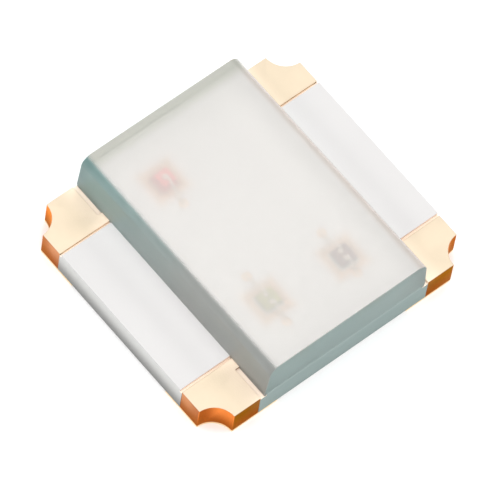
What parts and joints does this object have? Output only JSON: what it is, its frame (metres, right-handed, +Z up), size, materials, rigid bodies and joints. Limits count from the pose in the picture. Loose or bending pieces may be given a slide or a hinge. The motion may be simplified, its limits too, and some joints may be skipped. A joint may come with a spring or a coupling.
{
  "type": "smd rgb led",
  "caption": "Surface-mount red, green and blue light: milky moulded resin strip over dies on a white board, with plated quarter-round notched corner terminals.",
  "frame": {"origin": "under the middle of the board, on the plane of the four solder lands", "axes": "+X along the moulded strip, +Y across it, +Z up out of the light-giving top"},
  "size_m": [0.0032, 0.0036, 0.0009],
  "materials": {
    "laminate": "fine sawn edges",
    "white_mask": "smooth satin coat",
    "green_ink": "satin print",
    "resin": "milky clear, moulded top and sawn ends",
    "gold_plate": "flash gold over nickel on copper",
    "red_chip": "sawn semiconductor",
    "clear_chip": "polished sapphire",
    "silver_glue": "silver-filled, cured",
    "clear_glue": "clear, cured",
    "gold_film": "evaporated gold",
    "gold_wire": "drawn gold"
  },
  "bodies": {
    "root": {"board": "laminate", "solder_mask": "white_mask", "polarity_mark": "green_ink", "lens": "resin", "anode_terminal": "gold_plate", "red_terminal": "gold_plate", "green_terminal": "gold_plate", "blue_terminal": "gold_plate", "red_die": "red_chip", "green_die": "clear_chip", "blue_die": "clear_chip", "red_die_attach": "silver_glue", "green_die_attach": "clear_glue", "blue_die_attach": "clear_glue", "red_electrode": "gold_film", "green_anode_electrode": "gold_film", "green_cathode_electrode": "gold_film", "blue_anode_electrode": "gold_film", "blue_cathode_electrode": "gold_film", "red_wire": "gold_wire", "green_anode_wire": "gold_wire", "green_cathode_wire": "gold_wire", "blue_anode_wire": "gold_wire", "blue_cathode_wire": "gold_wire"}
  },
  "joints": []
}
